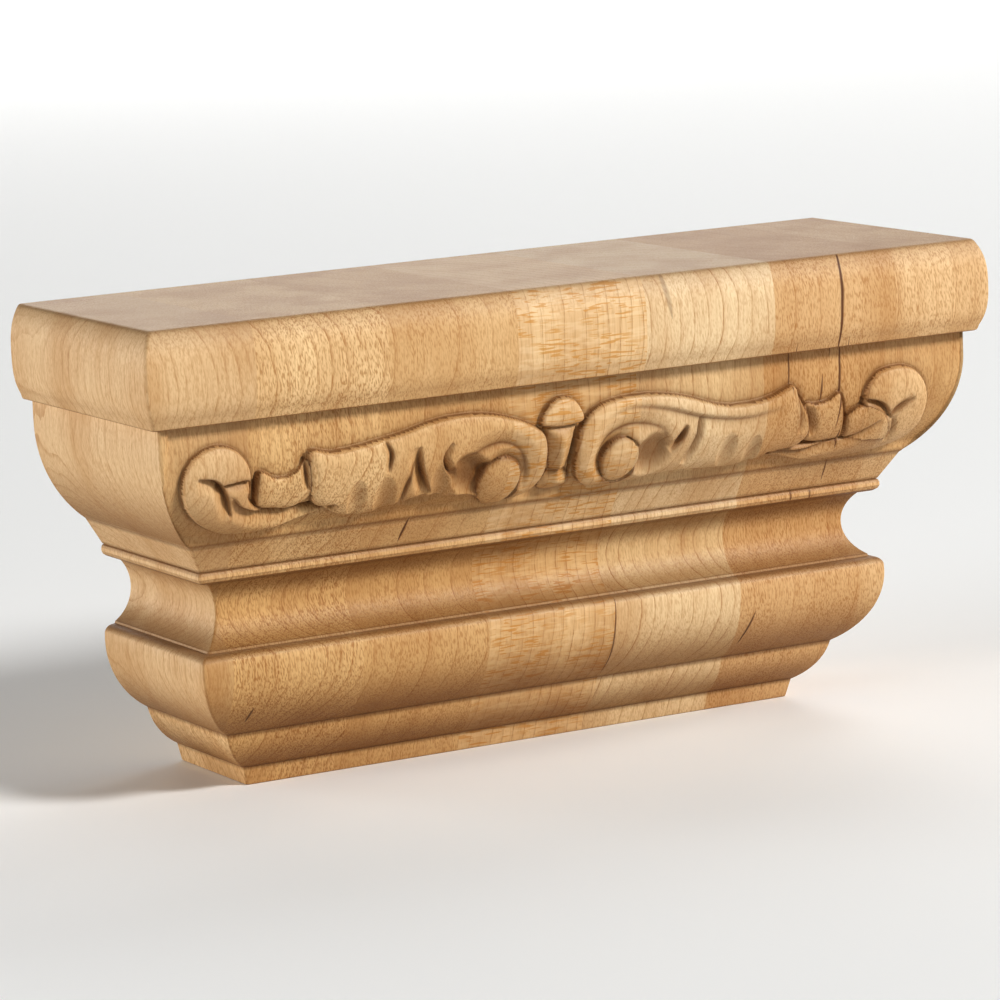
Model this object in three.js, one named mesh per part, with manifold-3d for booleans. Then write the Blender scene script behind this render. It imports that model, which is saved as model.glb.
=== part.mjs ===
// Carved pilaster capital in pale hardwood, 8 by 2.5 by 4 inches nominal.
// One glued-up block: a stack of mouldings mitred round the front and both ends, flat at the back,
// with a leafy scroll carved in relief on the large quarter round under the abacus.
// Frame: +Z up, +X along the front, the front faces -Y. The origin is under the middle of the outline.
import * as THREE from 'three';
import { mergeVertices } from 'three/addons/utils/BufferGeometryUtils.js';
import Module from 'manifold-3d';

// Driving dimensions, in millimetres and degrees.
const HEIGHT = 101.6;
const FOOT_WIDTH = 134.0;
const FOOT_DEPTH = 30.6;
const OVERHANG = 33.9; // the abacus stands out this far past the foot, at the front and at both ends

// The mouldings, from the foot up. A reach is measured out from the foot.
const PLINTH = { top: 4.2, reach: 1.0 };
const SMALL_OVOLO = { top: 12.7, reach: 7.4, radius: 13.5, lowAngle: 60, highAngle: 13 };
const TORUS = { widest: 28.6, reach: 16.4, radius: 18.3, lowAngle: 59, shoulder: 2.0, top: 31.7 };
const SCOTIA = { middle: 39.6, centre: 18.36, radius: 8.64, lowAngle: 58, highAngle: 48 };
const NOSE = { bottom: 46.5, middle: 47.4, top: 48.6, reach: 15.7, underside: 14.3, front: 15.4 };
const OVOLO = { springing: 76.6, reach: 29.8, radius: 27.4, lowAngle: 52 };
const ABACUS = { bottom: 81.6, widest: 91.6, bulge: 1.8, halfHeight: 9.15, power: 2.9, edge: 0.5 };

// The carved field on the front of the ovolo, and the relief that stands on it.
const FIELD = { sink: 1.2, bottom: 56.2, lip: 2.2, runOut: 2.0, fade: 0.3 };
const CREST = 1.2; // the relief stands this far in front of the uncut moulding
const ROOT = 2.5; // each relief piece runs this far into the block
const CENTRE_LINE = -4.6; // the ornament sits a little left of the middle

// The scroll, measured out from the ornament's centre line. The two sides were carved by eye, so the
// eye, the end of the leaf, the end of the stalk and the disc come at slightly different places.
const MARKS = [0, 15, 57.5, 70, 82, 100];
const RIGHT_MARKS = [0, 15.4, 57.0, 69.6, 84.4, 102.4];
const LEFT_MARKS = [0, 13.2, 58.4, 70.1, 79.2, 97.2];
const EYE = { at: 15, z: 63.0, radius: 4.5 };
const VOLUTE = { start: 85, end: 240, outer: 11.4, inner: 6.4 };
const LOBE = { at: 75.5, z: 65.0, radius: 4.0 };
const DISC = { at: 82, z: 68.3, radius: 7.7 };
const BUD = { foot: 58.6, neck: 64.5, cap: 74.0, capRadius: 4.5 };

const ARC_STEPS = 10;
const BACK_Y = (FOOT_DEPTH + OVERHANG) / 2;
const rad = THREE.MathUtils.degToRad;
const { lerp, clamp } = THREE.MathUtils;

const wasm = await Module();
wasm.setup();

// Any closed geometry as a solid that can be joined and cut.
function solidOf(geometry) {
  const bare = geometry.clone();
  bare.deleteAttribute('normal');
  bare.deleteAttribute('uv');
  const merged = mergeVertices(bare);
  return new wasm.Manifold(
    new wasm.Mesh({
      numProp: 3,
      vertProperties: merged.attributes.position.array,
      triVerts: new Uint32Array(merged.index.array),
    }),
  );
}

// The moulding's profile as points of reach and height, from the foot to the top.
function mouldingProfile() {
  const points = [];
  const to = (reach, z) => points.push(new THREE.Vector2(reach, z));
  // A quarter round that bulges outward. Its angles run down from its widest height.
  const bulge = (widestReach, widestZ, radius, from, until, steps = ARC_STEPS) => {
    for (let i = 0; i <= steps; i++) {
      const a = rad(lerp(from, until, i / steps));
      to(widestReach - radius * (1 - Math.cos(a)), widestZ - radius * Math.sin(a));
    }
  };

  to(0, 0);
  to(PLINTH.reach, PLINTH.top);

  const small = SMALL_OVOLO;
  const smallReach = small.reach + small.radius * (1 - Math.cos(rad(small.highAngle)));
  const smallZ = small.top + small.radius * Math.sin(rad(small.highAngle));
  bulge(smallReach, smallZ, small.radius, small.lowAngle, small.highAngle);

  bulge(TORUS.reach, TORUS.widest, TORUS.radius, TORUS.lowAngle, 0);
  bulge(TORUS.reach, TORUS.top - TORUS.shoulder, TORUS.shoulder, 0, -90, 4);

  for (let i = 0; i <= ARC_STEPS; i++) {
    const a = rad(lerp(-SCOTIA.lowAngle, SCOTIA.highAngle, i / ARC_STEPS));
    to(SCOTIA.centre - SCOTIA.radius * Math.cos(a), SCOTIA.middle + SCOTIA.radius * Math.sin(a));
  }

  to(NOSE.underside, NOSE.bottom);
  to(NOSE.front, NOSE.middle);
  to(NOSE.reach, NOSE.top);

  bulge(OVOLO.reach, OVOLO.springing, OVOLO.radius, OVOLO.lowAngle, 0);
  to(OVOLO.reach, ABACUS.bottom);

  const abacusReach = (z) =>
    OVERHANG - ABACUS.bulge * Math.abs((z - ABACUS.widest) / ABACUS.halfHeight) ** ABACUS.power;
  to(abacusReach(ABACUS.bottom) - ABACUS.edge, ABACUS.bottom);
  for (let i = 0; i <= ARC_STEPS; i++) {
    const z = lerp(ABACUS.bottom + ABACUS.edge, HEIGHT, i / ARC_STEPS);
    to(abacusReach(z), z);
  }
  return points;
}

// The block: the profile run along the front meets the profile run along both ends in mitred corners.
function mouldedBlock() {
  const profile = mouldingProfile();
  const length = FOOT_WIDTH + 2 * OVERHANG;
  const depth = FOOT_DEPTH + OVERHANG;

  const frontRun = new THREE.Shape([
    new THREE.Vector2(0, 0),
    ...profile.map(({ x, y }) => new THREE.Vector2(FOOT_DEPTH + x, y)),
    new THREE.Vector2(0, HEIGHT),
  ]);
  const front = new THREE.ExtrudeGeometry(frontRun, { depth: length, bevelEnabled: false });
  front.translate(0, 0, -length / 2);
  front.applyMatrix4(
    new THREE.Matrix4().makeBasis(
      new THREE.Vector3(0, -1, 0),
      new THREE.Vector3(0, 0, 1),
      new THREE.Vector3(-1, 0, 0),
    ),
  );
  front.translate(0, BACK_Y, 0);

  const half = profile.map(({ x, y }) => new THREE.Vector2(FOOT_WIDTH / 2 + x, y));
  const otherHalf = half.map(({ x, y }) => new THREE.Vector2(-x, y)).reverse();
  const endRun = new THREE.Shape([...half, ...otherHalf]);
  const ends = new THREE.ExtrudeGeometry(endRun, { depth, bevelEnabled: false });
  ends.rotateX(Math.PI / 2);
  ends.translate(0, BACK_Y, 0);

  return solidOf(front).intersect(solidOf(ends));
}

// A point at the front of the ovolo: x along it, z up it, and out along its own outward normal.
function onOvolo(x, z, out) {
  const angle = Math.asin(clamp((OVOLO.springing - z) / OVOLO.radius, 0, 1));
  const reach = OVOLO.reach - OVOLO.radius * (1 - Math.cos(angle));
  const y = BACK_Y - FOOT_DEPTH - reach;
  return new THREE.Vector3(x, y - out * Math.cos(angle), z - out * Math.sin(angle));
}

// Joins rings of points into one closed skin with flat ends.
function skin(rings) {
  const count = rings[0].length;
  const geometry = new THREE.BufferGeometry().setFromPoints(rings.flat());
  const triangles = [];
  for (let i = 0; i + 1 < rings.length; i++) {
    for (let j = 0; j < count; j++) {
      const a = i * count + j;
      const b = i * count + ((j + 1) % count);
      triangles.push(a, b, b + count, a, b + count, a + count);
    }
  }
  const last = (rings.length - 1) * count;
  for (let j = 1; j + 1 < count; j++) {
    triangles.push(0, j + 1, j, last, last + j, last + j + 1);
  }
  geometry.setIndex(triangles);
  return solidOf(geometry);
}

// The field is cut back by a slab that follows the ovolo. It runs out past the right end and past the
// lower left corner, and leaves a narrow lip at the upper left corner.
function fieldCutter() {
  const right = FOOT_WIDTH / 2 + OVERHANG;
  const top = ABACUS.bottom - 0.1;
  const rings = [];
  for (let i = 0; i <= ARC_STEPS; i++) {
    const t = i / ARC_STEPS;
    const z = lerp(FIELD.bottom, top, t);
    const sink = FIELD.sink * Math.min(1, t / FIELD.fade);
    const reach = BACK_Y - FOOT_DEPTH - onOvolo(0, z, 0).y;
    const left = -(FOOT_WIDTH / 2 + reach) + lerp(-FIELD.runOut, FIELD.lip, t);
    rings.push([
      onOvolo(left, z, ROOT),
      onOvolo(right, z, ROOT),
      onOvolo(right, z, -sink),
      onOvolo(left, z, -sink),
    ]);
  }
  return skin(rings);
}

// A solid that follows a curve over the ovolo. section(t) lists pairs of [across, out] round the curve.
function sweep(curve, steps, section) {
  const rings = [];
  for (let i = 0; i <= steps; i++) {
    const t = i / steps;
    const at = curve.getPoint(t);
    const along = curve.getTangent(t);
    rings.push(
      section(t).map(([across, out]) => onOvolo(at.x - along.y * across, at.y + along.x * across, out)),
    );
  }
  return skin(rings);
}

// A value that runs evenly through a list as t goes from 0 to 1.
function along(list, t) {
  const s = t * (list.length - 1);
  const i = Math.min(Math.floor(s), list.length - 2);
  return lerp(list[i], list[i + 1], s - i);
}

// A raised, rounded band with its half widths and crest heights listed along the curve.
function band(curve, halfWidths, crests, steps) {
  return sweep(curve, steps, (t) => {
    const width = along(halfWidths, t);
    const crest = along(crests, t);
    const edge = lerp(-FIELD.sink, crest, 0.5);
    const shoulder = lerp(-FIELD.sink, crest, 0.9);
    return [
      [-width, -ROOT],
      [-width, edge],
      [-0.6 * width, shoulder],
      [0, crest],
      [0.6 * width, shoulder],
      [width, edge],
      [width, -ROOT],
    ].reverse();
  });
}

// A V groove cut in from the crest, fading out at both ends.
function groove(curve, width, depth) {
  return sweep(curve, 8, (t) => {
    const swell = Math.max(Math.sin(Math.PI * t), 0.08);
    return [
      [-width * swell, CREST],
      [0, CREST - depth * swell],
      [width * swell, CREST],
      [width * swell, CREST + ROOT],
      [-width * swell, CREST + ROOT],
    ];
  });
}

// A low dome set square on the field.
function dome(x, z, radius) {
  const height = CREST + FIELD.sink;
  const profile = [new THREE.Vector2(0, -ROOT), new THREE.Vector2(radius, -ROOT)];
  for (let i = 0; i <= 4; i++) {
    const a = rad((90 * i) / 4);
    profile.push(new THREE.Vector2(radius * Math.cos(a), height * lerp(0.4, 1, Math.sin(a))));
  }
  const geometry = new THREE.LatheGeometry(profile, 22);
  const outward = onOvolo(x, z, 1).sub(onOvolo(x, z, 0));
  geometry.applyQuaternion(
    new THREE.Quaternion().setFromUnitVectors(new THREE.Vector3(0, 1, 0), outward),
  );
  const { x: dx, y: dy, z: dz } = onOvolo(x, z, -FIELD.sink);
  geometry.translate(dx, dy, dz);
  return solidOf(geometry);
}

// A thumb-shaped hollow scooped out of the crest.
function scoop(x, z, halfWidth, halfHeight, depth) {
  const geometry = new THREE.SphereGeometry(1, 14, 10);
  geometry.scale(halfWidth, depth, halfHeight);
  const { x: dx, y: dy, z: dz } = onOvolo(x, z, CREST);
  geometry.translate(dx, dy, dz);
  return solidOf(geometry);
}

const curveThrough = (points) =>
  new THREE.SplineCurve(points.map(([x, z]) => new THREE.Vector2(x, z)));

// One scroll, from the volute beside the bud out to the disc near the corner.
function scroll(side, marks) {
  const out = (distance) => {
    const i = Math.min(MARKS.findLastIndex((mark) => mark <= distance), MARKS.length - 2);
    const share = (distance - MARKS[i]) / (MARKS[i + 1] - MARKS[i]);
    return CENTRE_LINE + side * lerp(marks[i], marks[i + 1], share);
  };
  // Curves run outward on the right side and are turned round on the left, so that faces keep their way.
  const path = (points) => {
    const placed = points.map(([distance, z]) => [out(distance), z]);
    return curveThrough(side > 0 ? placed : placed.reverse());
  };
  const listed = (values) => (side > 0 ? values : [...values].reverse());
  const raise = (points, halfWidths, crests, steps) =>
    band(path(points), listed(halfWidths), listed(crests), steps);

  // The ridge runs in along the top of the leaf and winds round the eye as the volute.
  const TURN_STEPS = 7;
  const volute = [[42, 71], [33, 73], [24, 74.6]];
  for (let i = 0; i <= TURN_STEPS; i++) {
    const t = i / TURN_STEPS;
    const a = rad(lerp(VOLUTE.start, VOLUTE.end, t));
    const r = lerp(VOLUTE.outer, VOLUTE.inner, t ** 1.4);
    volute.push([EYE.at + r * Math.cos(a), EYE.z + r * Math.sin(a)]);
  }
  const leaf = [[19, 67.4], [28, 67], [36, 66.2], [44, 65.8], [51, 66], [57.5, 66.8]];
  const stalk = [[56, 66.6], [63, 65.4], [70, 66.2]];
  const tail = [[54, 61], [60, 60.4], [67, 59.8], [74, 60], [81, 61.4], [88, 65]];
  const raised = [
    raise(volute, [0.6, 1.6, 2.2, 2.4, 2.4, 2.5, 2.4, 1.3], [0.9, 1.2, 1.2, 1.2, 1.2, 1.1, 1.0, 0.3], 24),
    raise(leaf, [5.2, 6.8, 6.6, 6.6, 6.5, 6.8], [-0.6, 0.5, 0.9, 1.1, 1.2, 1.2], 14),
    raise(stalk, [3.8, 3.2, 4.4], [0.7, 0.6, 0.9], 6),
    raise(tail, [0.5, 1.2, 1.6, 2.0, 2.2, 1.2], [-0.5, 0.2, 0.5, 0.7, 0.6, 0.2], 12),
    dome(out(EYE.at), EYE.z, EYE.radius),
    dome(out(LOBE.at), LOBE.z, LOBE.radius),
    dome(out(DISC.at), DISC.z, DISC.radius),
  ];

  const flames = [[[33.4, 70.8], [32.3, 66.5], [30.4, 62]], [[29, 69.6], [27.8, 67], [26.2, 64.2]]];
  const discCut = [[75.5, 69.6], [79.6, 68.2], [82.2, 63.6]];
  const tailCut = [[57, 62.2], [66, 61.8], [73, 63.2], [77, 65.4]];
  const cut = [
    ...flames.map((flame) => groove(path(flame), 0.9, 1.9)),
    groove(path(discCut), 1.0, 1.7),
    groove(path(tailCut), 0.8, 1.5),
    scoop(out(41.6), 63.2, 1.8, 3.6, 1.2),
    scoop(out(47.8), 63.0, 1.8, 3.4, 1.1),
    scoop(out(22.5), 66.0, 3.0, 2.6, 1.4),
  ];
  return { raised, cut };
}

// The bud between the scrolls: a domed cap on a stalk that narrows to a neck and ends in a small foot.
function bud() {
  const rise = BUD.cap - BUD.foot;
  const stalk = curveThrough([0, 0.5, 1].map((t) => [CENTRE_LINE, BUD.foot + t * rise]));
  return [
    band(stalk, [3.2, 1.7, 2.1, 2.6, 3.0], [0.2, 0.7, 0.9, 1.0, 1.0], 8),
    dome(CENTRE_LINE, BUD.cap, BUD.capRadius),
  ];
}

function carvedCapital() {
  const scrolls = [scroll(1, RIGHT_MARKS), scroll(-1, LEFT_MARKS)];
  let solid = mouldedBlock().subtract(fieldCutter());
  for (const piece of [...scrolls.flatMap(({ raised }) => raised), ...bud()]) {
    solid = solid.add(piece);
  }
  for (const piece of scrolls.flatMap(({ cut }) => cut)) {
    solid = solid.subtract(piece);
  }
  return solid;
}

function geometryOf(solid) {
  const { vertProperties, triVerts } = solid.getMesh();
  const geometry = new THREE.BufferGeometry();
  geometry.setAttribute('position', new THREE.BufferAttribute(vertProperties, 3));
  geometry.setIndex(new THREE.BufferAttribute(triVerts, 1));
  geometry.computeVertexNormals();
  return geometry;
}

const wood = new THREE.MeshStandardMaterial({ color: 0xcfa872, roughness: 0.5, metalness: 0 });
const capital = new THREE.Mesh(geometryOf(carvedCapital()), wood);
capital.name = 'capital';

const group = new THREE.Group();
group.add(capital);

export default group;
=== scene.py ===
import math

import bmesh
import bpy
import numpy as np
from mathutils import Matrix, Vector, noise


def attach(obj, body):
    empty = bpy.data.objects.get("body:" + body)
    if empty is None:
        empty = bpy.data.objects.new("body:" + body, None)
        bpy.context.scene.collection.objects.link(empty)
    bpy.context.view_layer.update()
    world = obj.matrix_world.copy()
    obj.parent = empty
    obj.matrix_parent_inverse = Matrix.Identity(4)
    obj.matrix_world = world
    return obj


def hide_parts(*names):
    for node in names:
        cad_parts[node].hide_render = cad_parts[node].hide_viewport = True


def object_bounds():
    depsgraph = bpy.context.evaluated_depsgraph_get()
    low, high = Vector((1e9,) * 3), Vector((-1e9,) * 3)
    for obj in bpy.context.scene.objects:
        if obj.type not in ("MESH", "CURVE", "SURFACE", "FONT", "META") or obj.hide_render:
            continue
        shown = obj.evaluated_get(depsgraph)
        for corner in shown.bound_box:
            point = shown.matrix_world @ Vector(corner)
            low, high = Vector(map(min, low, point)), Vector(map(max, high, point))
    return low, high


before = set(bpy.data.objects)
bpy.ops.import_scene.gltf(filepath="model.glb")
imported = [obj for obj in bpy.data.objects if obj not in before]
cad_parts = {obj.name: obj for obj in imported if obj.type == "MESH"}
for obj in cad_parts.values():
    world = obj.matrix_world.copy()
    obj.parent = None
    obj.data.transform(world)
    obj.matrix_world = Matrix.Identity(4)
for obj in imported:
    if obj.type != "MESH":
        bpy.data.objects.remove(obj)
cad_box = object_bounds()

# The block: a capital glued up from upright staves of pale hardwood, moulded in one piece.
# The mouldings run along the front and turn round both ends with mitred corners; the back is sawn flat.
# Sizes are in millimetres, and reach is how far a moulding stands out past the foot.
MM = 0.001
FOOT_WIDTH = 134.0
FOOT_DEPTH = 30.6
BACK = cad_box[1].y / MM
TOP = cad_box[1].z / MM
CORNER_SOFTNESS = 0.45
OVOLO = {"springing": 76.6, "reach": 29.8, "radius": 27.4, "low_angle": 52.0, "rows": 48}
ABACUS_UNDERSIDE = 81.6


def bulge(reach, widest, radius, start, stop, steps):
    """Points of a round that bulges outward; angles run down from its widest height."""
    angles = np.radians(np.linspace(start, stop, steps + 1))
    return [(reach - radius * (1 - math.cos(a)), widest - radius * math.sin(a)) for a in angles]


def hollow_round(centre, middle, radius, start, stop, steps):
    """Points of a round that is hollowed inward, from below its middle height to above it."""
    angles = np.radians(np.linspace(start, stop, steps + 1))
    return [(centre - radius * math.cos(a), middle + radius * math.sin(a)) for a in angles]


def abacus_reach(z):
    """The slab's edge is a soft pillow: flat in the middle and falling away to both arrises."""
    return 33.9 - 1.8 * abs((z - 91.6) / 9.15) ** 2.9


def moulding_profile():
    """The whole profile from the foot to the top as (reach, height)."""
    foot = [(-0.35, 0.0), (-0.12, 0.1), (0.02, 0.4), (0.95, 4.05)]
    small_ovolo = bulge(7.75, 15.75, 13.5, 60, 13, 10)
    torus = bulge(16.4, 28.6, 18.3, 59, 0, 16)
    shoulder = bulge(16.4, 29.7, 2.0, -15, -90, 6) + [(13.9, 31.85)]
    scotia = hollow_round(18.36, 39.6, 8.64, -58, 48, 18)
    nose = [
        (13.7, 46.2), (14.9, 46.45), (15.7, 46.95), (16.05, 47.65),
        (16.05, 48.3), (15.8, 48.85), (15.45, 49.05),
    ]
    cant = [(15.75, 49.25)]
    ovolo = bulge(
        OVOLO["reach"], OVOLO["springing"], OVOLO["radius"], OVOLO["low_angle"], 0, OVOLO["rows"] - 8
    )
    upright = [(OVOLO["reach"], z) for z in np.linspace(OVOLO["springing"], ABACUS_UNDERSIDE, 9)[1:]]
    under = [(31.2, 81.6), (31.65, 81.66), (31.95, 81.85), (32.12, 82.2)]
    slab = [(abacus_reach(z), z) for z in np.linspace(82.8, 100.6, 20)]
    arris = [(abacus_reach(101.05), 101.05), (31.68, 101.32), (31.42, 101.5), (31.0, TOP)]
    lower = foot + small_ovolo + torus + shoulder + scotia + nose
    return lower + cant + ovolo + upright + under + slab + arris


def ring_size(reach):
    """Width and depth of the block at one height of the profile, in metres."""
    return (FOOT_WIDTH + 2 * reach) * MM, (FOOT_DEPTH + reach) * MM


profile = moulding_profile()
width, depth = ring_size(profile[0][0])
bpy.ops.object.select_all(action="DESELECT")
bpy.ops.mesh.primitive_plane_add(size=1.0)
capital = bpy.context.object
capital.name = "carved_capital"
capital.data.name = "carved_capital"
bpy.ops.object.mode_set(mode="EDIT")
bpy.ops.transform.resize(value=(width, depth, 1), center_override=(0, 0, 0))
bpy.ops.transform.translate(value=(0, BACK * MM - depth / 2, 0))


def select_where(test, kind):
    """In edit mode, selects only the vertices, edges or faces that pass the test."""
    mesh = bmesh.from_edit_mesh(capital.data)
    bpy.ops.mesh.select_mode(type=kind)
    bpy.ops.mesh.select_all(action="DESELECT")
    items = {"VERT": mesh.verts, "EDGE": mesh.edges, "FACE": mesh.faces}[kind]
    for item in items:
        if test(item):
            item.select_set(True)
    mesh.select_flush_mode()
    bmesh.update_edit_mesh(capital.data)


# The two front corners are eased, then the outline is drawn up the profile ring by ring.
front_edge = BACK * MM - depth
select_where(lambda v: abs(v.co.y - front_edge) < 1e-6, "VERT")
bpy.ops.mesh.bevel(offset=CORNER_SOFTNESS * MM, segments=6, affect="VERTICES")
bpy.ops.mesh.select_mode(type="FACE")
bpy.ops.mesh.select_all(action="SELECT")
height = 0.0
for reach, z in profile[1:]:
    bpy.ops.mesh.extrude_region_move(TRANSFORM_OT_translate={"value": (0, 0, z * MM - height)})
    height = z * MM
    next_width, next_depth = ring_size(reach)
    bpy.ops.transform.resize(
        value=(next_width / width, next_depth / depth, 1), center_override=(0, BACK * MM, height)
    )
    width, depth = next_width, next_depth
bpy.ops.mesh.select_all(action="SELECT")
bpy.ops.mesh.normals_make_consistent(inside=False)

# Quirks, arrises and the edges of the flat faces stay crisp; everything between them is smooth.
bpy.ops.mesh.select_mode(type="EDGE")
bpy.ops.mesh.select_all(action="DESELECT")
bpy.ops.mesh.edges_select_sharp(sharpness=math.radians(19))
bpy.ops.mesh.mark_sharp()
select_where(lambda e: all(v.co.z / MM > TOP - 0.01 for v in e.verts), "EDGE")
bpy.ops.mesh.mark_sharp()

# The carved scroll: a bud in the middle, and to each side a volute, a leaf, a collar and a disc.
# It is cut into the front of the big quarter round with gouges, on a ground that is sunk a little.
# It was laid out by eye, a little left of the middle, and the two sides differ. Millimetres again.
GROUND_SINK = 1.2
WALL = 0.34
ARRIS = 0.5
PANELS = 18
COLUMNS_PER_PANEL = 19
FINE_CUTS = 2


def in_band(co):
    """True on the flat front of the quarter round, between its two quirks."""
    z = co.z / MM
    return 55.0 - 0.05 < z < ABACUS_UNDERSIDE + 0.05


def ovolo_angle(z):
    """How far the quarter round has turned under at this height, in radians."""
    return np.arcsin(np.clip((OVOLO["springing"] - z) / OVOLO["radius"], 0, 1))


def ovolo_front(z):
    """The y of the uncut quarter round at this height."""
    reach = OVOLO["reach"] - OVOLO["radius"] * (1 - np.cos(ovolo_angle(z)))
    return BACK - FOOT_DEPTH - reach


def rounded(points, closed=False, steps=6):
    """A smooth line through the points, as an array of closely spaced points."""
    p = np.array(points, float)
    count = len(p)
    line = []
    for i in range(count if closed else count - 1):
        a, b, c, d = (
            p[(i - 1) % count] if closed or i > 0 else 2 * p[0] - p[1],
            p[i],
            p[(i + 1) % count],
            p[(i + 2) % count] if closed or i + 2 < count else 2 * p[-1] - p[-2],
        )
        for t in np.linspace(0, 1, steps, endpoint=False):
            line.append(
                0.5 * (2 * b + (c - a) * t + (2 * a - 5 * b + 4 * c - d) * t * t
                       + (3 * b - a - 3 * c + d) * t ** 3)
            )
    line.append(p[0] if closed else p[-1])
    return np.array(line)


class Carving:
    """Heights of the carved face over points (x, z), worked one cut after another."""

    def __init__(self, x, z):
        self.x = x
        self.z = z
        self.height = np.zeros_like(x)
        # shade: painted shade for the material, darkest in the cuts, along the outlines and in the field's
        # corners.
        self.shade = np.zeros_like(x)
        self.edge = np.full_like(x, 99.0)

    def near(self, line, margin):
        low = line.min(axis=0) - margin
        high = line.max(axis=0) + margin
        return np.flatnonzero(
            (self.x > low[0]) & (self.x < high[0]) & (self.z > low[1]) & (self.z < high[1])
        )

    def measure(self, line, index):
        """Distance to the line, share of the way along it, and side (positive on its left)."""
        px = self.x[index]
        pz = self.z[index]
        best = np.full(len(index), 1e9)
        share = np.zeros(len(index))
        side = np.zeros(len(index))
        steps = np.linalg.norm(np.diff(line, axis=0), axis=1)
        start = np.concatenate([[0], np.cumsum(steps)])
        for i in range(len(line) - 1):
            ax, az = line[i]
            dx, dz = line[i + 1] - line[i]
            length2 = max(dx * dx + dz * dz, 1e-9)
            t = np.clip(((px - ax) * dx + (pz - az) * dz) / length2, 0, 1)
            ox = px - ax - t * dx
            oz = pz - az - t * dz
            far = ox * ox + oz * oz
            closer = far < best
            best = np.where(closer, far, best)
            share = np.where(closer, (start[i] + t * steps[i]) / start[-1], share)
            side = np.where(closer, np.sign(dx * oz - dz * ox), side)
        return np.sqrt(best), share, side

    def raised(self, outline, edge, crown, rim, roof=False, moat=0.4, clean=False):
        """A shape left standing inside an outline: its edge and crown heights, and how wide it rounds.
        The ground dips in a narrow moat along the outline, where the parting tool went round it.
        A clean shape is cut down to its own surface where what was there stood higher."""
        line = rounded(outline, closed=True)
        index = self.near(line, 4.0)
        distance, _, _ = self.measure(line, index)
        px = self.x[index]
        pz = self.z[index]
        inside = np.zeros(len(index), bool)
        for (ax, az), (bx, bz) in zip(line[:-1], line[1:]):
            crosses = (az > pz) != (bz > pz)
            rise = bz - az if abs(bz - az) > 1e-12 else 1e-12
            inside ^= crosses & (px < ax + (pz - az) * (bx - ax) / rise)
        depth_in = np.where(inside, distance, -distance)
        climb = np.clip(depth_in / rim, 0, 1)
        arris = np.clip(depth_in / ARRIS, 0, 1)
        dome = 0.55 * (1 - (1 - arris) ** 2) + 0.45 * (1 - (1 - climb) ** 2)
        top = edge + (crown - edge) * (climb if roof else dome)
        old = self.height[index]
        beside = np.clip(1 + depth_in / 0.8, 0, 1) * (depth_in < 0) * (old < edge + 0.3)
        old = old - moat * beside ** 1.4
        ease = np.clip((depth_in + WALL) / WALL, 0, 1)
        wall = old + (edge - old) * ease * ease * (3 - 2 * ease)
        self.height[index] = np.where(
            depth_in >= 0,
            top if clean else np.maximum(old, top),
            np.where(edge > old, np.maximum(old, wall), old),
        )
        # Painted shade in the moat outside each shape, and less painted shade on the shape's own top.
        gap = np.clip(-depth_in, 0, 9)
        outside = (0.7 * np.exp(-gap / 0.3) + 0.3 * np.exp(-gap / 1.5)) * (depth_in < 0)
        self.shade[index] = np.where(
            depth_in > 0.2, self.shade[index] * 0.3, np.maximum(self.shade[index], outside)
        )
        self.edge[index] = np.minimum(self.edge[index], distance)

    def cut(self, path, depth, left, right, swell=0.6):
        """A V cut along a path: its depth, and how far it slopes up to its left and to its right."""
        line = rounded(path)
        index = self.near(line, max(left, right) + 0.5)
        distance, share, side = self.measure(line, index)
        slope = np.where(side > 0, left, right)
        shape = np.clip(1 - distance / slope, 0, 1)
        fade = np.clip(np.sin(math.pi * np.clip(share, 0.001, 0.999)), 0, 1) ** swell
        self.height[index] -= depth * shape * fade
        # Painted shade along the bottom of the cut.
        dark = np.exp(-distance / 0.5) * fade
        self.shade[index] = np.maximum(self.shade[index], dark * min(1.0, 0.3 + 0.6 * depth))
        self.edge[index] = np.minimum(self.edge[index], np.where(shape > 0, distance * 0.7, distance))

    def scoop(self, x, z, half_width, half_height, depth, turn=0.0, soft=False):
        """A round-bottomed hollow left by one push of a gouge."""
        a = math.radians(turn)
        dx = (self.x - x) * math.cos(a) + (self.z - z) * math.sin(a)
        dz = (self.z - z) * math.cos(a) - (self.x - x) * math.sin(a)
        bowl = np.clip(1 - (dx / half_width) ** 2 - (dz / half_height) ** 2, 0, 1)
        bowl = bowl * bowl * (3 - 2 * bowl) if soft else bowl
        self.height -= depth * bowl
        # Painted shade in the hollow, darker for a deeper scoop.
        self.shade = np.maximum(self.shade, 0.34 * depth * bowl)
        ring = np.abs(np.sqrt((dx / half_width) ** 2 + (dz / half_height) ** 2) - 1)
        self.edge = np.minimum(self.edge, ring * min(half_width, half_height))

    def ground(self):
        """The sunk field: it dies out at the quirk below and leaves a lip at the upper left corner.
        Its depth is kept apart from the other cuts, because it is planed straight back."""
        fade = np.clip((self.z - 55.0) / 3.0, 0, 1)
        corner = -(FOOT_WIDTH / 2 + BACK - FOOT_DEPTH - ovolo_front(self.z))
        lip = 2.2 * np.clip((self.z - 68.0) / 13.0, 0, 1)
        inner = np.clip((self.x - corner - lip) / 0.6 + 1 - np.clip(lip / 0.6, 0, 1), 0, 1)
        sunk = fade * fade * (3 - 2 * fade) * inner * inner * (3 - 2 * inner)
        waves = np.array([noise.noise((a * 0.11, b * 0.16, 3.0)) for a, b in zip(self.x, self.z)])
        facets = np.array([noise.noise((a * 0.45, b * 0.4, 9.0)) for a, b in zip(self.x, self.z)])
        self.ground_depth = sunk * (GROUND_SINK - 0.16 * waves - 0.10 * facets)
        self.height -= self.ground_depth
        # Painted shade in the field's two corners, at the quirk below and under the slab.
        corners = np.minimum(self.z - 55.0, ABACUS_UNDERSIDE - self.z)
        self.shade = np.maximum(self.shade, 0.65 * np.exp(-np.clip(corners, 0, 9) / 0.6))


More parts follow.
